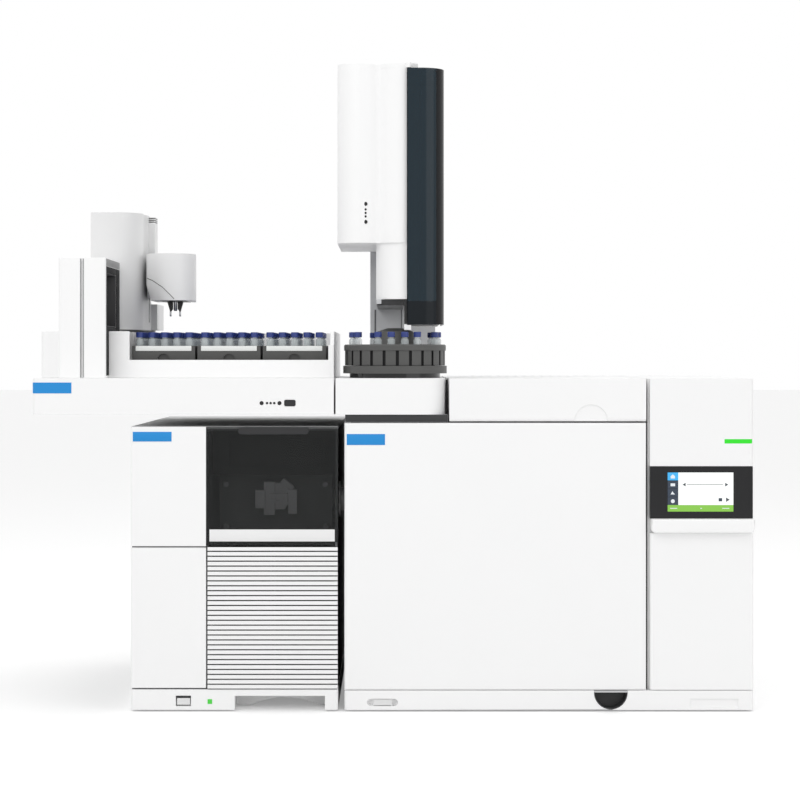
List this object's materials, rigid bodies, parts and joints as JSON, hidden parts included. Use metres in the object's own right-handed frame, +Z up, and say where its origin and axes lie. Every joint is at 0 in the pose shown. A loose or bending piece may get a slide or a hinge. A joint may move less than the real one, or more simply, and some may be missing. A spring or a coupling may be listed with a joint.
{
  "type": "mass spectrometer",
  "caption": "Bench-top gas chromatograph and mass spectrometer with a vial tray, a transport arm and an injector tower.",
  "frame": {"origin": "centre of the bounding box on the bench", "axes": "+Z up, +X to the right seen from the front, +Y to the back"},
  "size_m": [1.023, 0.568, 0.928],
  "materials": {
    "white_paint": "satin",
    "white_moulding": "satin",
    "light_grey": "satin",
    "mid_grey": "satin",
    "rack_grey": "matte",
    "dark_plastic": "satin",
    "black_gloss": "gloss",
    "smoked_plastic": "gloss",
    "tinted_plastic": "gloss",
    "rubber_foot": "matte",
    "sheet_steel": "satin",
    "polished_steel": "polished",
    "cast_aluminium": "satin",
    "brass_fitting": "satin",
    "fused_silica": "gloss",
    "clear_glass": "polished",
    "blue_cap": "satin",
    "screen_glass": "gloss",
    "lamp_green": "gloss"
  },
  "bodies": {
    "frame": {"gc_base": "white_moulding", "feet": "rubber_foot", "gc_chassis": "sheet_steel", "oven_liner": "sheet_steel", "oven_shroud": "sheet_steel", "heater_coil": "sheet_steel", "column_coil": "fused_silica", "inlets": "polished_steel", "detector": "cast_aluminium", "gc_rear_top": "white_paint", "gc_side_box": "white_paint", "gc_lower_panel": "white_moulding", "display_bezel": "dark_plastic", "touchscreen": "screen_glass", "display_lip": "white_moulding", "msd_base": "white_moulding", "msd_chassis": "sheet_steel", "msd_top": "white_paint", "msd_upper_panel": "white_moulding", "msd_lower_panel": "white_moulding", "msd_grille": "white_moulding", "manifold": "cast_aluminium", "ion_source": "polished_steel", "turbo_pump": "cast_aluminium", "transfer_line": "cast_aluminium", "foreline_port": "brass_fitting", "tray_bracket": "white_paint", "tray_base": "white_moulding", "tray_frame": "white_moulding", "sample_reader": "white_moulding", "vial_racks": "rack_grey", "rack_vials": "clear_glass", "rack_caps": "blue_cap", "mount_cover": "white_moulding", "turret_base": "black_gloss", "tower_post": "light_grey", "tower_body": "white_moulding", "indicator_lamps": "lamp_green"},
    "gc_lid": {"gc_lid": "white_moulding"},
    "oven_door": {"oven_door": "white_moulding", "oven_door_plug": "sheet_steel"},
    "oven_fan": {"oven_fan": "sheet_steel"},
    "gc_power_button": {"gc_power_button": "light_grey"},
    "door_latch": {"door_latch": "light_grey"},
    "msd_power_button": {"msd_power_button": "white_moulding"},
    "window_cover": {"window_cover": "smoked_plastic"},
    "arm": {"gantry_column": "light_grey"},
    "lift": {"gantry_slide": "mid_grey"},
    "mid_rail": {"gantry_rail": "sheet_steel"},
    "head": {"gantry_head": "light_grey"},
    "jaw_left": {"jaw_left": "dark_plastic"},
    "jaw_right": {"jaw_right": "dark_plastic"},
    "park_button": {"park_button": "dark_plastic"},
    "turret": {"turret": "rack_grey", "turret_vials": "clear_glass", "turret_caps": "blue_cap"},
    "tower_door": {"tower_door": "tinted_plastic"},
    "syringe_carriage": {"syringe_carriage": "cast_aluminium", "syringe": "clear_glass"},
    "plunger": {"plunger": "polished_steel"}
  },
  "joints": [
    {"name": "oven_door_swing", "type": "hinge", "parent": "frame", "child": "oven_door", "pos_m": [-0.063, -0.26, 0.2], "axis": [0, 0, -1], "range_deg": [0, 90]},
    {"name": "gc_lid_lift", "type": "hinge", "parent": "frame", "child": "gc_lid", "pos_m": [0.22, -0.028, 0.462], "axis": [-1, 0, 0], "range_deg": [0, 80]},
    {"name": "oven_fan_spin", "type": "hinge", "parent": "frame", "child": "oven_fan", "pos_m": [0.145, -0.022, 0.223], "axis": [0, 1, 0], "continuous": true},
    {"name": "gc_power_press", "type": "slide", "parent": "frame", "child": "gc_power_button", "axis": [0, 1, 0], "range_m": [0, 0.0025], "stiffness_N_per_m": 900},
    {"name": "door_latch_press", "type": "slide", "parent": "frame", "child": "door_latch", "axis": [0, 1, 0], "range_m": [0, 0.004], "stiffness_N_per_m": 900},
    {"name": "msd_power_press", "type": "slide", "parent": "frame", "child": "msd_power_button", "axis": [0, 1, 0], "range_m": [0, 0.002], "stiffness_N_per_m": 900},
    {"name": "window_cover_tip", "type": "hinge", "parent": "frame", "child": "window_cover", "pos_m": [-0.17, -0.27, 0.2366], "axis": [1, 0, 0], "range_deg": [0, 75]},
    {"name": "arm_travel", "type": "slide", "parent": "frame", "child": "arm", "axis": [1, 0, 0], "range_m": [-0.036, 0.2744]},
    {"name": "arm_lift", "type": "slide", "parent": "arm", "child": "lift", "axis": [0, 0, 1], "range_m": [-0.031, 0.005]},
    {"name": "arm_reach", "type": "slide", "parent": "lift", "child": "head", "axis": [0, 1, 0], "range_m": [-0.162, 0]},
    {"name": "mid_rail_slide", "type": "slide", "parent": "lift", "child": "mid_rail", "axis": [0, 1, 0], "range_m": [-0.081, 0]},
    {"name": "jaw_grip", "type": "slide", "parent": "head", "child": "jaw_left", "axis": [1, 0, 0], "range_m": [-0.0015, 0.0005]},
    {"name": "jaw_grip_follow", "type": "slide", "parent": "head", "child": "jaw_right", "axis": [1, 0, 0], "range_m": [-0.0005, 0.0015]},
    {"name": "park_press", "type": "slide", "parent": "frame", "child": "park_button", "axis": [0, 1, 0], "range_m": [0, 0.002], "stiffness_N_per_m": 900},
    {"name": "turret_spin", "type": "hinge", "parent": "frame", "child": "turret", "pos_m": [0.0029, -0.183, 0.5], "axis": [0, 0, 1], "continuous": true},
    {"name": "tower_door_swing", "type": "hinge", "parent": "frame", "child": "tower_door", "pos_m": [0.0224, -0.23465, 0.73], "axis": [0, 0, -1], "range_deg": [0, 100]},
    {"name": "needle_stroke", "type": "slide", "parent": "frame", "child": "syringe_carriage", "axis": [0, 0, 1], "range_m": [-0.112, 0]},
    {"name": "plunger_draw", "type": "slide", "parent": "syringe_carriage", "child": "plunger", "axis": [0, 0, 1], "range_m": [0, 0.05]}
  ],
  "couplings": [
    {"joint": "mid_rail_slide", "follows": "arm_reach", "ratio": 0.5},
    {"joint": "jaw_grip_follow", "follows": "jaw_grip", "ratio": -1}
  ]
}
